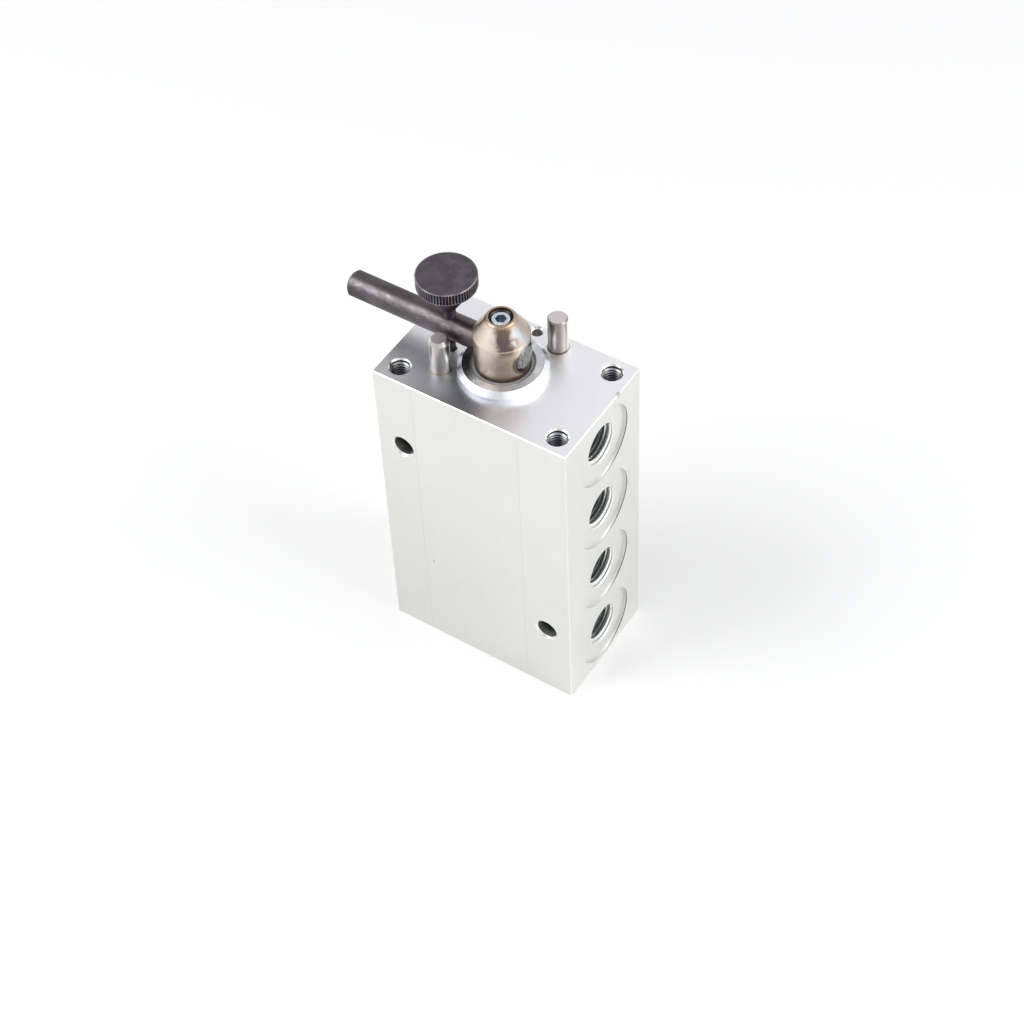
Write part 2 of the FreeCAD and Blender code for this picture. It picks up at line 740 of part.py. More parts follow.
make_block()
make_spool()
make_core_plug()
make_gland()
make_gland_seals()
make_washers()
make_bottom_end()
make_rod()
make_set_screw()
make_index_screw()
make_stop_pin("left", pin_places["left"], dim.left_pin_bevel_width, dim.left_pin_bevel_height)
make_stop_pin("right", pin_places["right"], dim.right_pin_bevel_width, dim.right_pin_bevel_height)
for part in sub_parts[1:]:
    put_on_axis(part)
doc.recompute()

for item in doc.Objects:
    if "Invalid" in item.State or "Error" in item.State:
        raise RuntimeError(f"{item.Name} failed: {item.State}")
for part in sub_parts:
    if part.Shape.isNull() or not part.Shape.isValid():
        raise RuntimeError(f"{part.Label} has no valid shape")

os.makedirs("parts", exist_ok=True)
for part in sub_parts:
    part.Shape.exportStep(os.path.join("parts", f"{part.Label}.step"))
    box = part.Shape.BoundBox
    print(f"{part.Label}: {len(part.Shape.Solids)} solid, {part.Shape.Volume:.1f} mm3, "
          f"z {box.ZMin:.2f} to {box.ZMax:.2f}")
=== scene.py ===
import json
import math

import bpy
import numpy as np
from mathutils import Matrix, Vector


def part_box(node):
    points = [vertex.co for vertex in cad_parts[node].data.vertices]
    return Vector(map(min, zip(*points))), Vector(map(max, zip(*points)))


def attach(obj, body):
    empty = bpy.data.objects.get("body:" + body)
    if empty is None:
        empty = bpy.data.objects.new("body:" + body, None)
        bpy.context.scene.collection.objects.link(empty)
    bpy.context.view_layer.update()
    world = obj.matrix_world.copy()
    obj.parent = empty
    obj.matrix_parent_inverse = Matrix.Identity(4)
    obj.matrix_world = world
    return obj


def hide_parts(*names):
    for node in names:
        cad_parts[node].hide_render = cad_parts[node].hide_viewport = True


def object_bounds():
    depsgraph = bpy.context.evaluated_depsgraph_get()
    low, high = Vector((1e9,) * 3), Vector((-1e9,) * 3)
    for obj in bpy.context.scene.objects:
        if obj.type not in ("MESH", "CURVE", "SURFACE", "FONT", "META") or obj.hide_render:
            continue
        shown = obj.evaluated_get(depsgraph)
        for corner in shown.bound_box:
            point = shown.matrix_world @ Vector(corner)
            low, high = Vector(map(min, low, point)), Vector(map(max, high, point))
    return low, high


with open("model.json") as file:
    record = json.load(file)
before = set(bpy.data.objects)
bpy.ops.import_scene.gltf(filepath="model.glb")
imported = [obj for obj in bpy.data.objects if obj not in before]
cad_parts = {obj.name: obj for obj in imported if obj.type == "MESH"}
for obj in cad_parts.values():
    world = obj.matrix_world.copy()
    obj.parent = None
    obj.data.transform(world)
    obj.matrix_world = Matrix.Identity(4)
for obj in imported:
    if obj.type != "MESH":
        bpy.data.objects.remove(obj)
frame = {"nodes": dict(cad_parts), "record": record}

# %% [markdown]
# # A rotary selector valve
# This lesson dresses a CAD model of a small hydraulic valve in Blender: a zinc plated steel block with
# four threaded ports, a bronzed spool head that a dark rod turns, a knurled thumb screw and two steel
# pins. The CAD pieces stay where they are. We give them finishes made of nodes, and add the fine shapes
# that CAD leaves out: the screw threads and the thumb screw's knurled rim.

MM = 0.001
cad_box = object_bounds()
nodes = frame["nodes"]
print("CAD box in metres:", [[round(value, 4) for value in corner] for corner in cad_box])
print("CAD nodes:", ", ".join(sorted(nodes)))

# %% [markdown]
# ## The camera
# A product photograph is a perspective picture from one fixed place. We state the camera's place and its
# three axes directly, because a matrix holds a small roll that a "look at" helper would lose. The columns
# of a camera's matrix are its right, up and backward directions, and Blender's camera looks backwards
# along its own Z.

# %% Place the camera
camera_place = np.array([275.44, -391.39, 496.43]) * MM
camera_right = np.array([0.8394, 0.5425, -0.0344])
camera_view = np.array([-0.3748, 0.5318, -0.7594])
camera_view /= np.linalg.norm(camera_view)
camera_right -= camera_view * camera_right.dot(camera_view)
camera_right /= np.linalg.norm(camera_right)
camera_up = np.cross(camera_right, camera_view)

camera_data = bpy.data.cameras.new("camera")
camera_data.sensor_width = 36.0
camera_data.lens = 85.27
camera_data.clip_start = 0.01
camera = bpy.data.objects.new("camera", camera_data)
camera_matrix = np.eye(4)
camera_matrix[:3, :4] = np.column_stack([camera_right, camera_up, -camera_view, camera_place])
camera.matrix_world = Matrix(camera_matrix.tolist())
bpy.context.scene.collection.objects.link(camera)
bpy.context.scene.camera = camera
print("camera elevation in degrees:", round(math.degrees(math.asin(-camera_view[2])), 1))

# %% [markdown]
# ## Steps in a node tree
# Every finish in this file is a small node tree, and so is the world behind the object. Writing each node
# by hand takes four lines, so we make a class with one method per kind of step: times, plus, ease, mix
# and so on. A node's input takes either a number or another node's output, and the class tells them apart.


# %% Write the steps that every tree shares
class Steps:
    """A node tree, with one method for each kind of step."""

    def __init__(self, tree):
        self.tree = tree

    def add(self, kind, inputs=None, **settings):
        """A new node of a kind, with its settings and its inputs."""
        node = self.tree.nodes.new("ShaderNode" + kind)
        for key, value in settings.items():
            setattr(node, key, value)
        for key, value in (inputs or {}).items():
            self.feed(node.inputs[key], value)
        return node

    def feed(self, socket, value):
        """Link another node's output to a socket, or write a number or a colour into it."""
        if isinstance(value, bpy.types.NodeSocket):
            self.tree.links.new(value, socket)
        elif socket.type == "RGBA" and len(value) == 3:
            socket.default_value = (*value, 1.0)
        else:
            socket.default_value = value

    def math(self, operation, first, second=0.0, third=0.0):
        """One step of arithmetic."""
        return self.add("Math", {0: first, 1: second, 2: third}, operation=operation).outputs[0]

    def times(self, first, second):
        """The product of two values."""
        return self.math("MULTIPLY", first, second)

    def plus(self, first, second):
        """The sum of two values."""
        return self.math("ADD", first, second)

    def minus(self, first, second):
        """The first value less the second."""
        return self.math("SUBTRACT", first, second)

    def larger(self, first, second):
        """The larger of two values."""
        return self.math("MAXIMUM", first, second)

    def smaller(self, first, second):
        """The smaller of two values."""
        return self.math("MINIMUM", first, second)

    def unsigned(self, value):
        """A value without its sign."""
        return self.math("ABSOLUTE", value)

    def ripple(self, value, gap):
        """A sine wave along a value, with its crests a gap apart: sin(2 pi value / gap)."""
        return self.math("SINE", self.math("DIVIDE", value, gap / (2.0 * math.pi)))

    def split(self, vector):
        """The three parts of a vector."""
        node = self.add("SeparateXYZ", {0: vector})
        return node.outputs[0], node.outputs[1], node.outputs[2]

    def ease(self, value, low, high, start=0.0, end=1.0):
        """A smooth step: start below low, end above high."""
        inputs = {0: value, 1: low, 2: high, 3: start, 4: end}
        return self.add("MapRange", inputs, interpolation_type="SMOOTHSTEP").outputs[0]

    def fall(self, value, low, high):
        """A smooth step the other way: one below low, zero above high."""
        return self.ease(value, low, high, 1.0, 0.0)

    def band(self, value, middle, reach):
        """One at the middle, falling to zero at the reach on either side."""
        return self.fall(self.unsigned(self.minus(value, middle)), reach * 0.25, reach)

    def mix(self, amount, first, second):
        """From the first colour at an amount of zero to the second at one."""
        return self.add("MixRGB", {0: amount, 1: first, 2: second}).outputs[0]

    def radius(self, across, along):
        """The distance from the origin of a plane: the root of the two squares' sum."""
        squares = self.plus(self.math("POWER", across, 2.0), self.math("POWER", along, 2.0))
        return self.math("SQRT", squares)


print("shared steps:", len([name for name in vars(Steps) if not name.startswith("_")]))

# %% [markdown]
# ## What a finish adds
# A finish is the tree of one material. It knows where a point is on the object and which way the surface
# looks there, and it ends in one glossy shader. Noise over the place makes clouds and specks, and a soft
# spot marks a single blemish.


# %% Write the steps of a finish
class Finish(Steps):
    """A material that starts from object coordinates, in metres, and ends in one glossy shader."""

    def __init__(self, name, colour, roughness, metallic=1.0):
        self.material = bpy.data.materials.new(name)
        self.material.use_nodes = True
        super().__init__(self.material.node_tree)
        self.shader = self.tree.nodes["Principled BSDF"]
        self.shader.inputs["Base Color"].default_value = (*colour, 1.0)
        self.shader.inputs["Roughness"].default_value = roughness
        self.shader.inputs["Metallic"].default_value = metallic
        source = self.add("TexCoord")
        self.place = source.outputs["Object"]
        self.facing = source.outputs["Normal"]

    def stretched(self, scale):
        """The place with each of its parts scaled, which stretches or squeezes a noise."""
        return self.add("Mapping", {"Vector": self.place, "Scale": scale}).outputs[0]

    def noise(self, scale, detail, vector=None):
        """Cloudy noise from about 0.3 to 0.7, over the place or over a stretched one."""
        vector = vector if vector is not None else self.place
        inputs = {"Vector": vector, "Scale": scale, "Detail": detail, "Roughness": 0.55}
        return self.add("TexNoise", inputs).outputs[0]

    def spot(self, centre, reach, softness):
        """One inside a ball round a point, and zero outside it, with an edge that is soft or hard."""
        away = self.add("VectorMath", {0: self.place, 1: centre}, operation="DISTANCE").outputs["Value"]
        return self.fall(away, reach * (1.0 - softness), reach)

    def colour(self, value):
        """Set the metal's or the rubber's own colour."""
        self.feed(self.shader.inputs["Base Color"], value)

    def roughness(self, value):
        """Set how dull the surface is."""
        self.feed(self.shader.inputs["Roughness"], value)

    def bump(self, height, distance, strength, under=None):
        """Tilt the surface by a height, over another bump if one is given."""
        inputs = {"Height": height, "Distance": distance, "Strength": strength}
        if under is not None:
            inputs["Normal"] = under
        node = self.add("Bump", inputs)
        self.feed(self.shader.inputs["Normal"], node.outputs[0])
        return node.outputs[0]


print("steps of a finish:", len([name for name in vars(Finish) if not name.startswith("_")]))

# %% [markdown]
# ## The studio
# The floor is a wide white sheet. A real white sheet in a bright studio photographs as almost pure white,
# so the floor adds a little light of its own where the camera or a reflection looks at it, and still
# keeps the soft shadow. Brighter lamps would whiten it too, but they would bleach the metal.

# %% Build the floor
floor_height = cad_box[0][2]
floor_reach = 3.0
paper_glow = 0.10


def floor_finish():
    """White paper: a matt shader, plus a faint glow that only camera and mirror rays see."""
    finish = Finish("studio_paper", (0.86, 0.86, 0.865), 0.9, metallic=0.0)
    path = finish.add("LightPath")
    seen = finish.larger(path.outputs["Is Camera Ray"], path.outputs["Is Glossy Ray"])
    finish.shader.inputs["Emission Color"].default_value = (1.0, 1.0, 1.0, 1.0)
    finish.feed(finish.shader.inputs["Emission Strength"], finish.times(seen, paper_glow))
    return finish.material


floor_mesh = bpy.data.meshes.new("floor")
floor_signs = [(-1, -1), (1, -1), (1, 1), (-1, 1)]
floor_corners = [(floor_reach * x, floor_reach * y, floor_height) for x, y in floor_signs]
floor_mesh.from_pydata(floor_corners, [], [(0, 1, 2, 3)])
floor_mesh.materials.append(floor_finish())
floor = bpy.data.objects.new("floor", floor_mesh)
bpy.context.scene.collection.objects.link(floor)
print("floor height in metres:", round(floor_height, 4))

# %% [markdown]
# ## The world round the object
# Metal looks like what it mirrors, so the world matters as much as the lamps. It is white at eye level
# and turns to a ceiling that is grey on the camera's left and bright on its right. The camera and mirror
# rays see that backdrop, and all other rays take a softer fill, which keeps the shadows even.

# %% Paint the backdrop and its ceiling
world = bpy.data.worlds.new("studio")
bpy.context.scene.world = world
world.use_nodes = True
sky = Steps(world.node_tree)
grey_left, bright_right, fill_strength = 0.54, 1.10, 0.62
direction = sky.add("TexCoord").outputs["Generated"]
rightward = sky.add("VectorMath", {0: direction, 1: tuple(camera_right)}, operation="DOT_PRODUCT")
ceiling = sky.ease(rightward.outputs["Value"], -0.12, 0.10, grey_left, bright_right)
above = sky.ease(sky.split(direction)[2], 0.25, 0.62)
tone = sky.mix(above, (1.0, 1.0, 1.0), ceiling)
paths = sky.add("LightPath").outputs
seen = sky.larger(paths["Is Camera Ray"], paths["Is Glossy Ray"])
seen = sky.larger(seen, paths["Is Transmission Ray"])
backdrop = sky.add("Background", {"Color": tone, "Strength": 1.0}).outputs[0]
soft_fill = sky.add("Background", {"Color": (0.98, 0.99, 1.0), "Strength": fill_strength}).outputs[0]
blend = sky.add("MixShader", {0: seen, 1: soft_fill, 2: backdrop}).outputs[0]
sky.feed(sky.tree.nodes["World Output"].inputs["Surface"], blend)
print("world nodes:", len(sky.tree.nodes))

# %% [markdown]
# ## The lamps
# Two large square lamps stand in for the softboxes of a studio: a stronger one at the front left, and a
# weaker one at the right. Large lamps give soft shadows and wide, gentle highlights on metal.


# %% Hang the softboxes
def softbox(name, place, aim, size, power):
    """A square area lamp at a place, turned towards a point."""
    lamp = bpy.data.lights.new(name, "AREA")
    lamp.size = size
    lamp.energy = power
    holder = bpy.data.objects.new(name, lamp)
    holder.location = place
    holder.rotation_euler = (Vector(aim) - Vector(place)).to_track_quat("-Z", "Y").to_euler()
    bpy.context.scene.collection.objects.link(holder)


block_middle = (0.0, 0.0, -0.05)
softbox("key_softbox", (-0.55, -0.55, 0.75), block_middle, 0.7, 6.0)
softbox("side_softbox", (0.75, 0.15, 0.55), block_middle, 0.6, 3.5)
bpy.context.scene.view_settings.view_transform = "Standard"
print("lamps:", [item.name for item in bpy.data.lights])

# %% [markdown]
# ## Finishes
# Each finish starts from one metal colour and bends it where the object's own places say so: darker deep
# in a hole, brighter on a worn edge, mottled by noise. A painted picture could do the same, but it would
# have to be unwrapped and would stretch inside the holes. Places in the CAD frame fit every face, and
# they stay on their piece when it turns.

# %% Measure the places that the finishes use
spool_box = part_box("rotary_spool")
axis_x = (spool_box[0][0] + spool_box[1][0]) / 2
axis_y = (spool_box[0][1] + spool_box[1][1]) / 2
block_low, block_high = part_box("valve_body")
half_width, half_depth, block_height = block_high[0], block_high[1], -block_low[2]
port_pitch = block_height / 4
finishes = {}


def from_port_axis(finish, along, height):
    """The distance from the axis of the nearest port, at heights that repeat with the port pitch."""
    beside = finish.math("MODULO", finish.plus(height, block_height), port_pitch)
    return finish.radius(along, finish.minus(beside, port_pitch / 2))


def keep_finish(slot, material):
    """Keep a material under the name of its slot, and say how many nodes it took."""
    finishes[slot] = material
    print(slot, "nodes:", len(material.node_tree.nodes))


print("spool axis in millimetres:", round(axis_x / MM, 2), round(axis_y / MM, 2))

# %% [markdown]
# ## The block's zinc
# The block is milled from steel bar and zinc plated, so it is pale and satin with a faint cloud. Its top
# faces the ceiling, and a paler, bluer colour on it is a painted reflection of the ceiling. A painted shade
# darkens the top along its front edge. One flat colour would look like plastic, so the tones are mixed by
# place and by the way that a face looks.

# %% Start the block's finish
zinc = Finish("block_zinc", (0.84, 0.84, 0.815), 0.40)
across, along, height = zinc.split(zinc.place)
facing_x, facing_y, facing_z = [zinc.unsigned(part) for part in zinc.split(zinc.facing)]
upward = zinc.ease(zinc.split(zinc.facing)[2], 0.7, 0.95)
cloud = zinc.noise(45.0, 3.0)
side_tone = zinc.mix(cloud, (0.80, 0.80, 0.775), (0.875, 0.87, 0.845))
# The top's paler, bluer colour is a painted reflection of the ceiling
painted_top_tone = zinc.mix(cloud, (0.90, 0.905, 0.93), (0.96, 0.96, 0.99))
colour = zinc.mix(upward, side_tone, painted_top_tone)

# The painted shade on the top lies before a border that slants from left to right, and it ends past the
# middle
border_slope, border_start = -0.22, -11.6 * MM
border = zinc.math("MULTIPLY_ADD", across, border_slope, border_start)
wander = zinc.math("MULTIPLY_ADD", zinc.noise(90.0, 2.0), 5.0 * MM, -2.5 * MM)
beyond = zinc.minus(zinc.plus(along, wander), border)
shade = zinc.times(zinc.fall(beyond, -4.5 * MM, 5.5 * MM), upward)
shade = zinc.times(shade, zinc.fall(across, -1.0 * MM, 18.0 * MM))
shade_tone = zinc.mix(zinc.ease(across, -30.0 * MM, -3.0 * MM), (0.62, 0.625, 0.66), (0.31, 0.315, 0.345))
colour = zinc.mix(shade, colour, shade_tone)
print("block_zinc nodes so far:", len(zinc.tree.nodes))

# %% [markdown]
# ## The cutter's arcs
# A face mill leaves curved lines in strips as wide as the cutter, with a seam between two strips. They
# are far too shallow to model, so a wave over the height plus the cutter's arc draws them into the colour
# and the bump. The front face also greys a little towards its foot.

# %% Draw the cutter's arcs
strip, strip_start, cutter, arc_gap = 35.8 * MM, 55.1 * MM, 20.0 * MM, 0.9 * MM
foot_grey, mark_grey = (0.55, 0.55, 0.525), (0.50, 0.50, 0.47)
inside = zinc.minus(zinc.math("MODULO", zinc.plus(across, strip_start), strip), strip / 2)
arc_rise = zinc.math("SQRT", zinc.minus(cutter ** 2, zinc.math("POWER", inside, 2.0)))
wave = zinc.math("MULTIPLY_ADD", zinc.ripple(zinc.plus(height, arc_rise), arc_gap), 0.5, 0.5)
front = zinc.ease(facing_y, 0.9, 0.99)
fade = zinc.times(front, zinc.ease(height, -105.0 * MM, -5.0 * MM, 0.40, 0.16))
colour = zinc.mix(fade, colour, foot_grey)
seam = zinc.ease(zinc.unsigned(inside), strip / 2 - 0.25 * MM, strip / 2 - 0.05 * MM)
marks = zinc.times(zinc.plus(zinc.times(wave, 0.10), seam), front)
colour = zinc.mix(zinc.times(marks, 0.22), colour, mark_grey)
print("cutter strip in millimetres:", round(strip / MM, 1))

# %% [markdown]
# ## The spotfaces
# Each port opens in a shallow round seat that a turning cutter made, so fine rings run round the port's
# axis. Its wall carries a painted shadow line along the outer edge, strongest on the side away from the
# front. Both come from the distance to the port's axis, which saves modelling four sets of rings.

# %% Draw the spotfaces' rings and walls
spotface_mm = 0.8
spotface_depth = spotface_mm * MM
ring_gap = 0.42 * MM
wall_tone, wall_shadow_tone = (0.72, 0.72, 0.71), (0.13, 0.135, 0.135)
away = from_port_axis(zinc, along, height)
sunk = zinc.fall(across, half_width - spotface_depth * 0.6, half_width - spotface_depth * 0.4)
sunk = zinc.times(sunk, zinc.ease(facing_x, 0.9, 0.99))
rings = zinc.times(zinc.math("MULTIPLY_ADD", zinc.ripple(away, ring_gap), 0.5, 0.5), sunk)
wall = zinc.times(zinc.fall(facing_x, 0.5, 0.8), zinc.band(away, port_pitch * 0.473, port_pitch * 0.02))
# A painted shadow line on the spotface wall, along its outer edge
line = zinc.band(across, half_width - 0.12 * MM, 0.26 * MM)
line = zinc.times(line, zinc.ease(along, -4.0 * MM, 9.0 * MM, 0.1, 1.0))
colour = zinc.mix(zinc.times(wall, 0.9), colour, wall_tone)
colour = zinc.mix(zinc.times(wall, line), colour, wall_shadow_tone)
print("spotface depth in millimetres:", spotface_mm)

# %% [markdown]
# ## Dark holes
# Deep in a hole the colour darkens, as a painted shade. The depth below the nearest outer face tells how
# deep a point is. The three tapped corner holes are darker than the rest, so they have a painted shade of
# their own, which ends well above the underside.

# %% Darken the holes
corner_inset_x, corner_inset_y = 6.0, 5.5
corner_across, corner_along = half_width / MM - corner_inset_x, half_depth / MM - corner_inset_y
hole_shade_tone, corner_shade_tone = (0.24, 0.26, 0.25), (0.13, 0.145, 0.14)
depth = zinc.minus(half_width, zinc.unsigned(across))
depth = zinc.smaller(depth, zinc.minus(half_depth, zinc.unsigned(along)))
depth = zinc.smaller(depth, zinc.times(height, -1.0))
depth = zinc.smaller(depth, zinc.plus(height, block_height))
from_corner = zinc.radius(
    zinc.minus(zinc.unsigned(across), corner_across * MM),
    zinc.minus(zinc.unsigned(along), corner_along * MM),
)
in_corner = zinc.times(zinc.fall(from_corner, 3.05 * MM, 3.2 * MM), zinc.fall(height, -0.6 * MM, -0.3 * MM))
in_corner = zinc.times(in_corner, zinc.ease(height, -30.0 * MM, -20.0 * MM))
# Painted shade deep in every hole, and a darker painted shade in the corner holes
colour = zinc.mix(zinc.ease(depth, 1.2 * MM, 4.0 * MM), colour, hole_shade_tone)
colour = zinc.mix(in_corner, colour, corner_shade_tone)
print("corner holes from the middle, in millimetres:", round(corner_across, 1), round(corner_along, 1))

# %% [markdown]
# ## Wear and grain
# A used block has a nick in its right edge, a chip in its front and edges that hands have polished. Wear
# sits at known places, so two soft spots and a smoother edge are enough. The rings and arcs go into the
# bump, over a fine grain.

# %% Add the wear and finish the block
bruise_tone, polished = (0.30, 0.30, 0.30), (0.26, 0.26, 0.26)
nick = zinc.spot((half_width, 8.4 * MM, 0.0), 1.1 * MM, 0.5)
chip = zinc.spot((-16.4 * MM, -half_depth, -75.2 * MM), 0.55 * MM, 0.5)
damage = zinc.times(zinc.larger(nick, chip), 0.6)
zinc.colour(zinc.mix(damage, colour, bruise_tone))
scratch = zinc.noise(320.0, 3.0, zinc.stretched((6.0, 1.0, 1.0)))
satin = zinc.ease(scratch, 0.3, 0.7, 0.36, 0.46)
broken = zinc.larger(zinc.larger(facing_x, facing_y), facing_z)
edge = zinc.times(zinc.fall(broken, 0.80, 0.97), zinc.fall(depth, 0.3 * MM, 0.5 * MM))
zinc.roughness(zinc.mix(edge, satin, polished))
grain = zinc.bump(zinc.noise(2600.0, 2.0), 0.02 * MM, 0.25)
zinc.bump(zinc.plus(zinc.times(marks, 0.5), rings), 0.012 * MM, 0.6, grain)
keep_finish("block_zinc", zinc.material)

# %% [markdown]
# ## The threads' finish
# The port threads are cut and then plated. Their crests carry a painted highlight, the flanks between
# them a painted shade, the mouth painted light and the deep end a painted shade. A crest lies nearer the
# port's axis than a flank, so the distance from the axis tells them apart. The corner holes are narrow, and
# their threads are soon lost in painted shade.


# %% Finish the port and corner threads
def port_thread_zinc():
    """Painted highlights on the crests and painted shade on the flanks, painted light at the mouth and
    painted shade deep in the port.
    """
    flank_shade_tone, crest_tone = (0.58, 0.61, 0.60), (1.0, 1.0, 1.0)
    mouth_light_tone, deep_shade_tone = (0.90, 0.91, 0.90), (0.44, 0.47, 0.46)
    finish = Finish("port_thread_zinc", (0.9, 0.9, 0.9), 0.25)
    across, along, height = finish.split(finish.place)
    # The white crest tone is a painted highlight
    crest = finish.fall(from_port_axis(finish, along, height), 6.0 * MM, 6.2 * MM)
    colour = finish.mix(crest, flank_shade_tone, crest_tone)
    depth = finish.minus(half_width, finish.unsigned(across))
    mouth = finish.fall(depth, 2.1 * MM, 2.5 * MM)
    colour = finish.mix(mouth, colour, mouth_light_tone)
    finish.colour(finish.mix(finish.ease(depth, 5.0 * MM, 12.0 * MM), colour, deep_shade_tone))
    finish.bump(finish.noise(1800.0, 2.0), 0.01 * MM, 0.2)
    return finish.material


def corner_thread_zinc():
    """Dull crests that are soon lost in painted shade deep in a corner hole."""
    crest_tone, corner_thread_shade_tone = (0.34, 0.35, 0.36), (0.07, 0.07, 0.075)
    finish = Finish("corner_thread_zinc", crest_tone, 0.3)
    depth = finish.times(finish.split(finish.place)[2], -1.0)
    # Painted shade that deepens down the corner hole
    finish.colour(finish.mix(finish.ease(depth, 0.6 * MM, 4.0 * MM), crest_tone, corner_thread_shade_tone))
    finish.bump(finish.noise(1800.0, 2.0), 0.02 * MM, 0.3)
    return finish.material


port_thread_metal, corner_thread_metal = port_thread_zinc(), corner_thread_zinc()
print("thread finishes:", port_thread_metal.name, corner_thread_metal.name)

# %% [markdown]
# ## The gland ring
# The ring is turned and bright plated. Its bevel mirrors the white studio with a blue tinge, and its flat
# top, with fine turning lines, mirrors something darker on the left. A mirror would need that dark thing
# in the scene, so the top's dark and light halves are mixed by place instead.


# %% Finish the gland ring
def gland_zinc():
    """Bright zinc with a blue tinge on the bevel, and a turned top that is dull, with a painted reflection
    that is dark on its left.
    """
    bevel_tone, turned_roughness = (0.93, 0.95, 1.0), (0.48, 0.48, 0.48)
    finish = Finish("gland_zinc", (0.84, 0.87, 0.92), 0.30)
    across, along, _ = finish.split(finish.place)
    beside = finish.minus(across, axis_x)
    away = finish.radius(beside, finish.minus(along, axis_y))
    top = finish.ease(finish.split(finish.facing)[2], 0.90, 0.98)
    cloud = finish.noise(260.0, 3.0)
    mottle = finish.ease(cloud, 0.42, 0.6)
    # The top's dark and light halves are a painted reflection, mixed by place
    dark = finish.mix(mottle, (0.09, 0.09, 0.10), (0.20, 0.20, 0.215))
    light = finish.mix(mottle, (0.66, 0.67, 0.71), (0.80, 0.81, 0.85))
    flat = finish.mix(finish.ease(beside, -7.5 * MM, -3.0 * MM), dark, light)
    finish.colour(finish.mix(top, bevel_tone, flat))
    finish.roughness(finish.mix(top, finish.ease(cloud, 0.35, 0.65, 0.26, 0.36), turned_roughness))
    finish.bump(finish.ripple(away, 0.35 * MM), 0.006 * MM, 0.5)
    return finish.material


keep_finish("gland_zinc", gland_zinc())

# %% [markdown]
# ## The spool's head
# The head is hardened steel, and the heat left a yellow brown film whose tint changes round it: a brown
# and purple streak, then a patch worn down to steel that also serves as a painted highlight on the right.
# A pale painted highlight lies on the flank in front. The angle round the spool's axis places these bands,
# and noise makes their edges wander, as a real heat tint does.

# %% Start the head's finish
rod_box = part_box("lever_rod")
rod_height = (rod_box[0][2] + rod_box[1][2]) / 2


def heat_tint(finish, beside, before, height):
    """The colour round the head. A turn of zero is to the right, and minus a quarter turn is in front."""
    dull_tint, bright_tint, cone_tint = (0.34, 0.27, 0.205), (0.46, 0.385, 0.315), (0.64, 0.535, 0.48)
    flank_highlight_tint, brown_tint, purple_tint = (0.80, 0.69, 0.61), (0.155, 0.108, 0.078), (0.125, 0.098, 0.118)
    bare_steel_and_highlight = (0.54, 0.55, 0.59)
    cloud = finish.noise(170.0, 4.0)
    colour = finish.mix(finish.ease(cloud, 0.35, 0.65), dull_tint, bright_tint)
    cone = finish.ease(height, 14.6 * MM, 15.6 * MM)
    colour = finish.mix(finish.times(cone, 0.5), colour, cone_tint)
    turn = finish.math("ARCTAN2", before, beside)
    rising = finish.ease(height, 6.0 * MM, 17.0 * MM, 0.25, 0.85)
    # A painted highlight on the flank in front, stronger higher up the head
    colour = finish.mix(finish.times(finish.band(turn, -1.62, 0.85), rising), colour, flank_highlight_tint)
    wander = finish.noise(330.0, 3.0)
    turn = finish.plus(turn, finish.math("MULTIPLY_ADD", wander, 1.0, -0.5))
    upper = finish.ease(height, 12.0 * MM, 15.5 * MM, 0.30, 1.0)
    brown = finish.times(finish.band(turn, -0.86, 0.60), upper)
    colour = finish.mix(finish.times(brown, 0.95), colour, brown_tint)
    purple = finish.times(finish.band(turn, -0.88, 0.40), finish.band(height, 16.8 * MM, 3.2 * MM))
    colour = finish.mix(finish.times(purple, 0.8), colour, purple_tint)
    # The patch is wear down to steel and also a painted highlight that brightens the right side
    patch = finish.times(finish.band(turn, -0.05, 0.60), finish.band(height, 17.4 * MM, 3.8 * MM))
    patch = finish.times(patch, finish.ease(wander, 0.40, 0.55, 0.25, 1.0))
    return finish.mix(patch, colour, bare_steel_and_highlight)


print("rod height in millimetres:", round(rod_height / MM, 2))

# %% [markdown]
# ## The head's edges and holes
# The rim of the head is rubbed golden, its shoulder has a painted highlight, its foot a painted shade, and
# a small orange burr stands at the set screw's hole. The holes for the set screw and the rod are dark
# inside with painted shade. Each of these is a ring or a spot at a known height, so a smooth step over
# height or distance draws it.


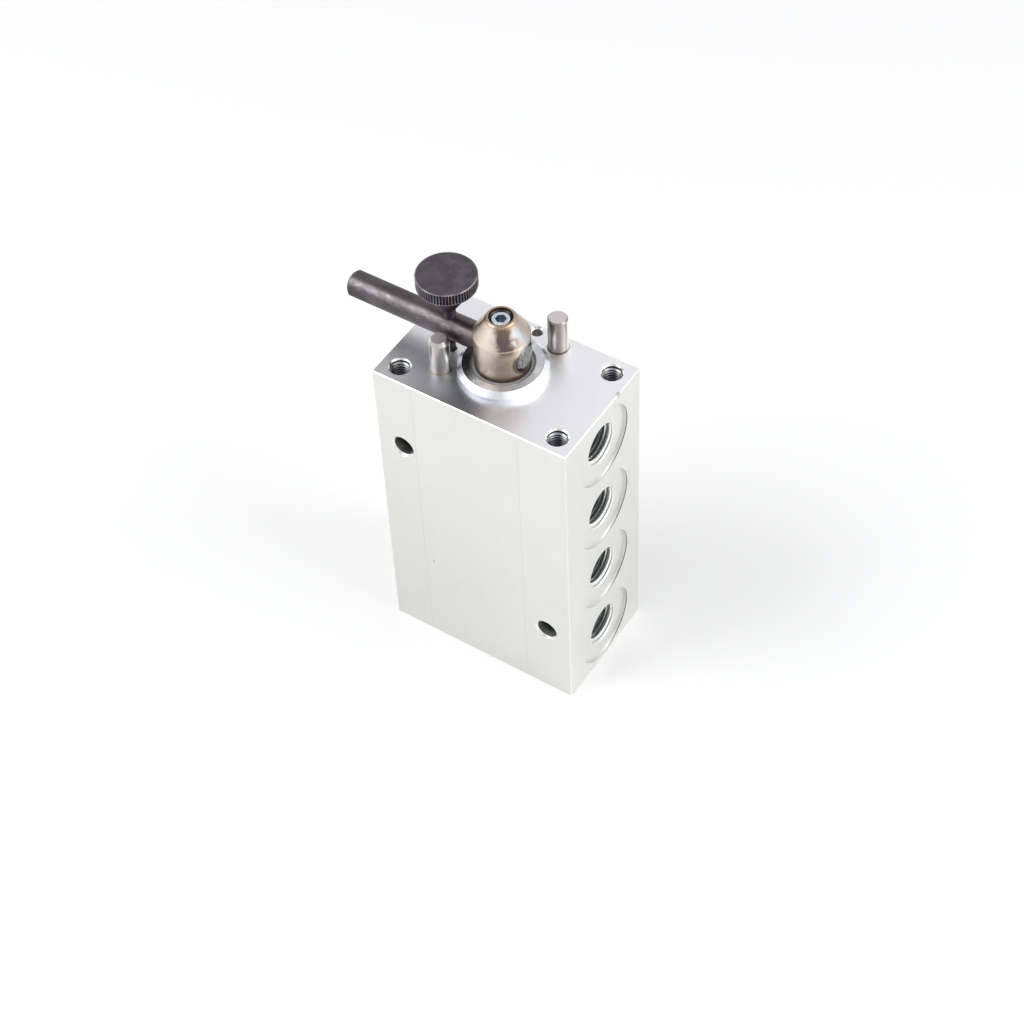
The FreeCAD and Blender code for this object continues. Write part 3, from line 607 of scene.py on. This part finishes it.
# %% Finish the spool's head
def spool_bronzed():
    """Yellow brown heat tint with a golden rim, a painted highlight on the shoulder, and painted shade on
    the foot, in the holes and round the rod's end.
    """
    rim_tint, shoulder_highlight_tint, foot_shade_tint = (0.44, 0.33, 0.245), (0.72, 0.60, 0.46), (0.20, 0.13, 0.085)
    burr_tint, hole_shade_tint = (0.45, 0.25, 0.10), (0.05, 0.04, 0.035)
    finish = Finish("spool_bronzed", (0.60, 0.47, 0.34), 0.34)
    across, along, height = finish.split(finish.place)
    beside, before = finish.minus(across, axis_x), finish.minus(along, axis_y)
    away = finish.radius(beside, before)
    colour = heat_tint(finish, beside, before, height)
    rim = finish.ease(height, 20.2 * MM, 20.9 * MM)
    colour = finish.mix(finish.times(rim, 0.75), colour, rim_tint)
    # A painted highlight along the shoulder's edge
    shoulder = finish.band(height, 14.95 * MM, 0.35 * MM)
    colour = finish.mix(finish.times(shoulder, 0.5), colour, shoulder_highlight_tint)
    # Painted shade on the foot, low on the head
    foot = finish.ease(height, 3.4 * MM, 7.6 * MM, 0.8, 0.0)
    colour = finish.mix(foot, colour, foot_shade_tint)
    burr = finish.spot((axis_x - 2.6 * MM, axis_y + 3.8 * MM, 21.0 * MM), 1.3 * MM, 0.6)
    colour = finish.mix(burr, colour, burr_tint)

    # Painted shade inside the two holes, and a painted shadow round the rod's right end
    hole = finish.times(finish.fall(away, 3.5 * MM, 3.65 * MM), finish.ease(height, 19.0 * MM, 19.5 * MM))
    from_rod = finish.radius(before, finish.minus(height, rod_height))
    lower = finish.minus(finish.times(height, -1.0), before)
    rod_hole = finish.times(finish.fall(from_rod, 4.55 * MM, 4.8 * MM),
                            finish.fall(away, 8.2 * MM, 8.35 * MM))
    near_end = finish.times(finish.ease(from_rod, 4.7 * MM, 5.3 * MM, 0.8, 0.0),
                            finish.ease(lower, -9.5 * MM, -7.0 * MM))
    round_rod = finish.larger(near_end, finish.times(rod_hole, 0.85))
    finish.colour(finish.mix(finish.larger(hole, round_rod), colour, hole_shade_tint))
    finish.roughness(finish.ease(finish.noise(900.0, 3.0), 0.3, 0.7, 0.28, 0.42))
    lines = finish.noise(1.0, 2.0, finish.stretched((180.0, 180.0, 3800.0)))
    finish.bump(lines, 0.012 * MM, 0.3)
    return finish.material


keep_finish("spool_bronzed", spool_bronzed())

# %% [markdown]
# ## The lever rod
# The rod has a dark phosphate coat that holds oil. Hands rub it along its upper front, where bright specks
# of steel show through, its right end is cut and brushed, and it looks warmer near the bronzed head. The
# angle round the rod places the rubbed streak, and a noise drawn out along the rod gives the specks.


# %% Finish the lever rod
def rod_phosphate():
    """Dark phosphate, with a speckled streak rubbed along the rod and a brushed end."""
    rubbed_tone, speck_tone, warm_tone = (0.27, 0.25, 0.262), (0.46, 0.43, 0.42), (0.095, 0.070, 0.070)
    finish = Finish("rod_phosphate", (0.12, 0.105, 0.11), 0.42)
    across, along, height = finish.split(finish.place)
    cloud = finish.noise(150.0, 5.0, finish.stretched((0.5, 1.0, 1.0)))
    specks = finish.noise(900.0, 3.0, finish.stretched((0.45, 1.0, 1.0)))
    colour = finish.mix(finish.ease(cloud, 0.35, 0.65), (0.082, 0.073, 0.077), (0.145, 0.131, 0.138))
    lean = finish.math("ARCTAN2", finish.minus(axis_y, along), finish.minus(height, rod_height))
    streak = finish.band(finish.plus(lean, finish.math("MULTIPLY_ADD", cloud, 0.7, -0.35)), 0.80, 0.50)
    rubbed = finish.times(streak, finish.ease(specks, 0.42, 0.62, 0.15, 1.0))
    colour = finish.mix(finish.times(rubbed, 0.5), colour, rubbed_tone)
    speck = finish.times(finish.ease(specks, 0.66, 0.74), finish.ease(cloud, 0.45, 0.6))
    colour = finish.mix(finish.times(speck, 0.7), colour, speck_tone)
    warm = finish.times(finish.ease(across, -16.0 * MM, -8.0 * MM), 0.6)
    colour = finish.mix(warm, colour, warm_tone)
    end = finish.ease(across, 6.8 * MM, 7.2 * MM)
    brushed = finish.noise(1.0, 3.0, finish.stretched((300.0, 2200.0, 500.0)))
    end_tone = finish.mix(finish.ease(brushed, 0.35, 0.65), (0.14, 0.14, 0.145), (0.30, 0.295, 0.295))
    finish.colour(finish.mix(end, colour, end_tone))
    finish.roughness(finish.ease(cloud, 0.3, 0.7, 0.50, 0.38))
    finish.bump(finish.noise(1400.0, 4.0), 0.03 * MM, 0.35)
    return finish.material


keep_finish("rod_phosphate", rod_phosphate())

# %% [markdown]
# ## The thumb screw's finish
# The thumb screw is coated mottled grey, and fingers burnish the tips of its knurl and the bevel above.
# The grooves between the teeth and the neck below the head take a painted shade. The distance from the
# screw's own axis tells a tip from a groove.

# %% Measure the thumb screw
index_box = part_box("index_screw")
index_x = (index_box[0][0] + index_box[1][0]) / 2
head_radius = (index_box[1][0] - index_box[0][0]) / 2
head_top = index_box[1][2]
head_height, rim_bevel = 4.0, 0.25
head_low = head_top / MM - head_height
knurl_low, knurl_high = head_low + rim_bevel, head_top / MM - 0.3
print("thumb screw's head in millimetres:", round(head_radius / MM, 2), "radius", head_height, "high")


# %% Finish the thumb screw
def index_grey():
    """Mottled grey oxide on the thumb screw, burnished on the knurl's crests and edges."""
    blue_tone, burnished_tone, groove_shade_tone = (0.115, 0.10, 0.155), (0.42, 0.41, 0.42), (0.025, 0.024, 0.028)
    finish = Finish("index_grey", (0.13, 0.12, 0.135), 0.45)
    across, along, height = finish.split(finish.place)
    cloud = finish.noise(300.0, 4.0)
    colour = finish.mix(finish.ease(cloud, 0.35, 0.65), (0.095, 0.086, 0.095), (0.142, 0.13, 0.14))
    blue = finish.spot((index_x - 4.0 * MM, axis_y - 3.0 * MM, head_top), 8.0 * MM, 0.8)
    colour = finish.mix(finish.times(blue, 0.45), colour, blue_tone)
    away = finish.radius(finish.minus(across, index_x), finish.minus(along, axis_y))
    crest = finish.times(finish.ease(away, head_radius - 0.10 * MM, head_radius - 0.01 * MM), 0.45)
    bevel = finish.times(finish.ease(away, head_radius - 0.45 * MM, head_radius - 0.3 * MM),
                         finish.ease(height, head_top - 0.22 * MM, head_top - 0.05 * MM, 0.0, 0.6))
    worn = finish.times(finish.larger(crest, bevel), finish.ease(cloud, 0.4, 0.6, 0.4, 1.0))
    specks = finish.noise(800.0, 2.0)
    speck = finish.times(finish.ease(specks, 0.70, 0.76), finish.ease(cloud, 0.45, 0.6))
    colour = finish.mix(finish.larger(worn, speck), colour, burnished_tone)
    # Painted shade in the knurl's grooves and on the neck under the head
    knurl = finish.times(finish.ease(height, knurl_low * MM, (knurl_low + 0.1) * MM),
                         finish.fall(height, (knurl_high - 0.1) * MM, knurl_high * MM))
    groove = finish.times(knurl, finish.fall(away, head_radius - 0.34 * MM, head_radius - 0.12 * MM))
    neck = finish.ease(height, (knurl_low - 0.6) * MM, (knurl_low - 0.1) * MM, 0.6, 0.0)
    finish.colour(finish.mix(finish.larger(groove, neck), colour, groove_shade_tone))
    finish.roughness(finish.ease(cloud, 0.3, 0.7, 0.50, 0.38))
    finish.bump(finish.noise(1500.0, 4.0), 0.025 * MM, 0.35)
    return finish.material


keep_finish("index_grey", index_grey())

# %% [markdown]
# ## The stop pins
# The pins are ground dowels, so they mirror what stands round them: pale where they look away from the
# block's middle, darker towards it. Mirrors that small pick up noise, so the pale flank is a painted
# reflection that comes from the direction that the surface looks in. The right pin stands in more shade,
# so a painted shade by the place from left to right darkens it, and one finish serves both. Their tops
# are paler, as painted light from above.


# %% Finish the stop pins
def pin_steel():
    """Ground steel with faint lines round the pin, a painted reflection on the outer flank, a painted shade
    on the right pin and a paler, duller top with painted light.
    """
    outward_x, outward_y = 0.82, 0.57
    shaded_tone, pale_reflection_tone, painted_top_tone = (0.16, 0.15, 0.14), (0.92, 0.905, 0.88), (0.68, 0.63, 0.65)
    finish = Finish("pin_steel", (0.62, 0.60, 0.57), 0.27)
    across = finish.split(finish.place)[0]
    facing_x, facing_y, facing_z = finish.split(finish.facing)
    top = finish.ease(facing_z, 0.8, 0.95)
    cloud = finish.noise(120.0, 2.0)
    side = finish.mix(finish.ease(cloud, 0.35, 0.65), (0.46, 0.445, 0.42), (0.54, 0.525, 0.50))
    # Painted shade that darkens the right pin
    side = finish.mix(finish.ease(across, -2.0 * MM, 2.0 * MM, 0.0, 0.55), side, shaded_tone)
    outward = finish.plus(finish.times(facing_x, outward_x), finish.times(facing_y, outward_y))
    outward = finish.times(outward, finish.math("SIGN", across))
    # Painted reflection on the outer flank
    side = finish.mix(finish.ease(outward, 0.70, 0.94), side, pale_reflection_tone)
    finish.colour(finish.mix(top, side, painted_top_tone))
    finish.roughness(finish.mix(top, (0.30, 0.30, 0.30), (0.45, 0.45, 0.45)))
    lines = finish.noise(1.0, 1.0, finish.stretched((15.0, 15.0, 4000.0)))
    finish.bump(lines, 0.004 * MM, 0.2)
    return finish.material


keep_finish("pin_steel", pin_steel())

# %% [markdown]
# ## The set screw
# The set screw is bright zinc with a blue passivation. Light reaches its socket only from above, so a
# painted shade makes the socket a little darker than the face, and a painted shade makes the thread at its
# rim nearly black. The CAD piece has the socket's shape, and the finish adds the painted tones.

# %% Finish the set screw
screw_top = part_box("lever_set_screw")[1][2]


def socket_screw_zinc():
    """Bright blue zinc, with painted shade in the socket and round its edge."""
    socket_shade_tone, rim_shade_tone = (0.42, 0.46, 0.52), (0.045, 0.055, 0.08)
    finish = Finish("screw_zinc", (0.84, 0.89, 0.96), 0.22)
    across, along, height = finish.split(finish.place)
    away = finish.radius(finish.minus(across, axis_x), finish.minus(along, axis_y))
    cloud = finish.noise(500.0, 3.0)
    colour = finish.mix(finish.ease(cloud, 0.35, 0.65), (0.70, 0.77, 0.88), (0.88, 0.92, 0.97))
    socket = finish.times(finish.fall(away, 1.74 * MM, 1.80 * MM),
                          finish.fall(height, screw_top - 0.15 * MM, screw_top - 0.05 * MM))
    colour = finish.mix(socket, colour, socket_shade_tone)
    finish.colour(finish.mix(finish.ease(away, 2.86 * MM, 2.95 * MM), colour, rim_shade_tone))
    finish.roughness(finish.ease(cloud, 0.3, 0.7, 0.18, 0.28))
    finish.bump(finish.noise(1500.0, 2.0), 0.012 * MM, 0.25)
    return finish.material


keep_finish("screw_zinc", socket_screw_zinc())

# %% [markdown]
# ## The hidden pieces
# The seals, washers, plugs and circlip are inside the block, where hardly any view shows them. They need
# only a plain, believable finish for whoever takes the valve apart, so two short functions serve them all.


# %% Finish the hidden pieces
def plain_metal(name, colour, roughness):
    """A metal that varies a little in colour and roughness."""
    finish = Finish(name, colour, roughness)
    cloud = finish.noise(600.0, 3.0)
    darker = tuple(0.82 * part for part in colour)
    finish.colour(finish.mix(finish.ease(cloud, 0.35, 0.65), darker, colour))
    finish.roughness(finish.ease(cloud, 0.3, 0.7, roughness * 0.85, roughness * 1.15))
    finish.bump(finish.noise(1500.0, 2.0), 0.015 * MM, 0.25)
    return finish.material


def plain_polymer(name, colour, roughness):
    """Rubber or plastic with a faint grain."""
    finish = Finish(name, colour, roughness, metallic=0.0)
    cloud = finish.noise(700.0, 3.0)
    paler = tuple(min(1.0, 1.25 * part + 0.01) for part in colour)
    finish.colour(finish.mix(finish.ease(cloud, 0.35, 0.65), colour, paler))
    finish.bump(finish.noise(2500.0, 2.0), 0.02 * MM, 0.3)
    return finish.material


plain_tones = [
    ("seal_rubber", plain_polymer, (0.025, 0.025, 0.027), 0.45),
    ("wiper_rubber", plain_polymer, (0.30, 0.30, 0.31), 0.5),
    ("backup_plastic", plain_polymer, (0.80, 0.77, 0.70), 0.4),
    ("washer_bronze", plain_metal, (0.62, 0.44, 0.22), 0.32),
    ("plug_steel", plain_metal, (0.56, 0.57, 0.58), 0.32),
    ("circlip_steel", plain_metal, (0.12, 0.12, 0.13), 0.38),
]
for slot, plain_finish, tone, roughness in plain_tones:
    keep_finish(slot, plain_finish(slot, tone, roughness))

# %% [markdown]
# ## Every piece takes its finish
# The record says which slot each CAD piece belongs to. Reading it here, rather than typing the list
# again, means that no piece can be forgotten.

# %% Give every CAD piece its finish
for subpart in frame["record"]["subparts"]:
    node = nodes[subpart["node"]]
    node.data.materials.clear()
    node.data.materials.append(finishes[subpart["material_slot"]])
print("finishes:", ", ".join(finishes))

# %% [markdown]
# ## Surfaces from grids
# Turned parts, threads and knurls are all grids of points: one direction runs along an outline and the
# other runs round an axis. One function turns any such grid into a mesh. A pole, where a whole row of the
# grid falls on one point, is closed with a fan of triangles.

# %% Write the helpers that make a mesh
sharp_angle = 32.0


def link_surface(name, points, faces, material, body):
    """A smooth mesh from an array of points in metres and a list of faces, riding on a CAD body."""
    mesh = bpy.data.meshes.new(name)
    mesh.from_pydata(points.tolist(), [], faces)
    mesh.shade_smooth()
    mesh.set_sharp_from_angle(angle=math.radians(sharp_angle))
    mesh.materials.append(material)
    piece = bpy.data.objects.new(name, mesh)
    bpy.context.scene.collection.objects.link(piece)
    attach(piece, body)
    return piece


def grid_faces(rows, columns):
    """Squares between neighbouring points of a grid, whose last column joins the first."""
    numbers = np.arange(rows * columns).reshape(rows, columns)
    beside = np.roll(numbers, -1, axis=1)
    return np.stack([numbers[:-1], beside[:-1], beside[1:], numbers[1:]], axis=-1).reshape(-1, 4)


print("squares in a grid of 3 by 4 points:", len(grid_faces(3, 4)))

# %% [markdown]
# ## The thread's ridge
# The CAD holes are plain at the thread's largest diameter, because a cut helix makes CAD solids slow and
# fragile. A ridge wound on the wall makes the thread instead: a short section is carried along a helix,
# and it grows out of the wall at both ends, as a thread runs out.


# %% Write the ridge of a thread
def thread_ridge(name, wall, crest, pitch, start, length, place, axis, material, body):
    """The ridge of a thread, wound on the wall of a hole from its mouth inwards, or on a shank.

    Point (i, j) lies at angle t_i, at the radius of the ridge's section j and at the depth
    start + pitch * t_i / (2 pi) + offset_j. The ridge grows out of the wall over its first and last half
    turn. The section is the 60 degree V of a metric or pipe thread with a flat crest.
    """
    per_turn, growing, thinnest, buried = 72, 0.5, 0.02, 0.04
    count = int(length / pitch * per_turn) + 1
    turn = np.arange(count) / per_turn
    grow = np.clip(np.minimum(turn, turn[-1] - turn) / growing, thinnest, 1.0)
    inwards = 1.0 if crest < wall else -1.0
    section_offset = np.array([-0.46, -0.10, 0.10, 0.46]) * pitch * inwards
    section_height = np.array([-buried, abs(wall - crest), abs(wall - crest), -buried])
    radius = wall - inwards * section_height[None, :] * np.where(section_height > 0, grow[:, None], 1.0)
    depth = start + pitch * turn[:, None] + section_offset[None, :] * np.ones((count, 1))
    angle = 2.0 * np.pi * turn[:, None] * np.ones((1, 4))
    first, second = radius * np.cos(angle), radius * np.sin(angle)
    if axis == "x":
        grid = np.stack([place[0] - depth, place[1] + second, place[2] + first], axis=-1)
    else:
        grid = np.stack([place[0] + second, place[1] + first, place[2] - depth], axis=-1)
    tail = (count - 1) * 4
    caps = [[3, 2, 1, 0], [tail, tail + 1, tail + 2, tail + 3]]
    faces = grid_faces(count, 4).tolist() + caps
    return link_surface(name, grid.reshape(-1, 3) * MM, faces, material, body)


print("thread helper ready")

# %% [markdown]
# ## The threads of the ports and corner holes
# Four pipe threads open in the spotfaces and three metric threads in the top. All of one kind are the
# same ridge at another place, so two loops make them.

# %% Cut the port and corner threads
port_wall, port_crest, port_thread_pitch = 6.5785, 5.80, 1.337
port_thread_start, port_thread_length = 0.9, 11.4
port_face = half_width / MM - spotface_mm
for number in range(4):
    mouth = (port_face, 0.0, -(number + 0.5) * port_pitch / MM)
    thread_ridge(f"port_thread_{number + 1}", port_wall, port_crest, port_thread_pitch, port_thread_start,
                 port_thread_length, mouth, "x", port_thread_metal, "block")

corner_wall, corner_crest, corner_thread_pitch = 3.0, 2.5, 1.0
corner_thread_start, corner_thread_length = 0.7, 11.0
corners = [(-corner_across, -corner_along), (corner_across, -corner_along), (corner_across, corner_along)]
for number, corner in enumerate(corners, start=1):
    thread_ridge(f"corner_thread_{number}", corner_wall, corner_crest, corner_thread_pitch,
                 corner_thread_start, corner_thread_length, (*corner, 0.0), "z", corner_thread_metal,
                 "block")

# %% [markdown]
# ## The thumb screw
# The screw's head has a straight knurl that a wheel pressed in. Cutting every tooth would be slow, so one
# outline is turned round the axis with a radius that dips between teeth. The dip fades near both bevels,
# as it does where a knurling wheel stops.


# %% Write the turning helpers
def turned(name, outline, segments, place, material, body, shrink):
    """A body of revolution about an upright axis.

    Point (i, j) = place + (r_i * k_ij * cos t_j, r_i * k_ij * sin t_j, z_i), where the outline gives the
    radius r and the height z from the lower pole to the upper one, and k is what shrink gives.
    """
    radii, heights = np.array(outline, float).T
    angles = np.arange(segments) * 2.0 * np.pi / segments
    spread = radii[:, None] * shrink(heights, angles)
    grid = np.empty((len(radii), segments, 3))
    grid[..., 0] = place[0] + spread * np.cos(angles)
    grid[..., 1] = place[1] + spread * np.sin(angles)
    grid[..., 2] = heights[:, None]
    points = grid.reshape(-1, 3)
    low, high = len(points), len(points) + 1
    points = np.vstack([points, [(*place[:2], heights[0]), (*place[:2], heights[-1])]])
    row = np.arange(segments)
    beside = np.roll(row, -1)
    top_row = (len(radii) - 1) * segments
    faces = grid_faces(len(radii), segments).tolist()
    faces += np.column_stack([np.full(segments, low), beside, row]).tolist()
    faces += np.column_stack([np.full(segments, high), top_row + row, top_row + beside]).tolist()
    return link_surface(name, points * MM, faces, material, body)


def arc(across, up, radius, start, end):
    """Five points on an arc in the outline's plane, between two angles in degrees."""
    angles = np.radians(np.linspace(start, end, 5))
    return np.column_stack([across + radius * np.cos(angles), up + radius * np.sin(angles)]).tolist()


print("points on an arc:", len(arc(0.0, 0.0, 1.0, 0, 90)))

# %% Draw the thumb screw's outline and knurl
head_mm, top_mm = head_radius / MM, head_top / MM
tip_radius, shank_radius, collar_radius = 1.2, 1.62, 4.4
neck_gap = 3.1
neck_low = rod_box[1][2] / MM + neck_gap
screw_outline = [
    (tip_radius, 0.5), (tip_radius, 2.0), (shank_radius, 2.45), (shank_radius, neck_low - 0.3),
    (2.0, neck_low), (2.3, neck_low + 0.05),
    (collar_radius - 0.1, neck_low + 3.1), (collar_radius, neck_low + 3.3),
    (collar_radius, head_low - 0.15), (collar_radius + 0.1, head_low), (head_mm - 0.3, head_low),
    *arc(head_mm - rim_bevel, head_low + rim_bevel, rim_bevel, -90, 0),
    (head_mm, head_low + 0.4), (head_mm, top_mm - 0.45),
    *arc(head_mm - rim_bevel, top_mm - rim_bevel, rim_bevel, 0, 90),
    (head_mm - 0.6, top_mm), (head_mm * 0.6, top_mm), (head_mm * 0.2, top_mm),
]
tooth_count, tooth_depth, knurl_fade, valley_width = 62, 0.42, 0.12, 0.8


def knurled(heights, angles):
    """How far the radius shrinks: 1 - depth / radius * valley(angle) inside the knurled band."""
    from_low = np.clip((heights - knurl_low) / knurl_fade, 0.0, 1.0)
    from_high = np.clip((knurl_high - heights) / knurl_fade, 0.0, 1.0)
    valley = (0.5 - 0.5 * np.cos(tooth_count * angles)) ** valley_width
    return 1.0 - tooth_depth / head_mm * (from_low * from_high)[:, None] * valley[None, :]


print("outline points:", len(screw_outline), "teeth:", tooth_count)

# %% Turn the thumb screw and wind its thread
points_per_tooth = 8
screw_place = (index_x / MM, axis_y / MM, 0.0)
thumb_screw = turned("thumb_screw", screw_outline, tooth_count * points_per_tooth, screw_place,
                     finishes["index_grey"], "index", knurled)
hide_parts("index_screw")
screw_crest, screw_thread_pitch = 1.98, 0.7
screw_thread_start, screw_thread_length = 0.4 - neck_low, neck_low - 3.4
thread_ridge("thumb_screw_thread", shank_radius, screw_crest, screw_thread_pitch, screw_thread_start,
             screw_thread_length, screw_place, "z", finishes["index_grey"], "index")
print("thumb screw points:", len(thumb_screw.data.vertices))

# %% [markdown]
# ## The box of the whole
# The finished scene should be as big as the CAD model, whose box was measured at the start.
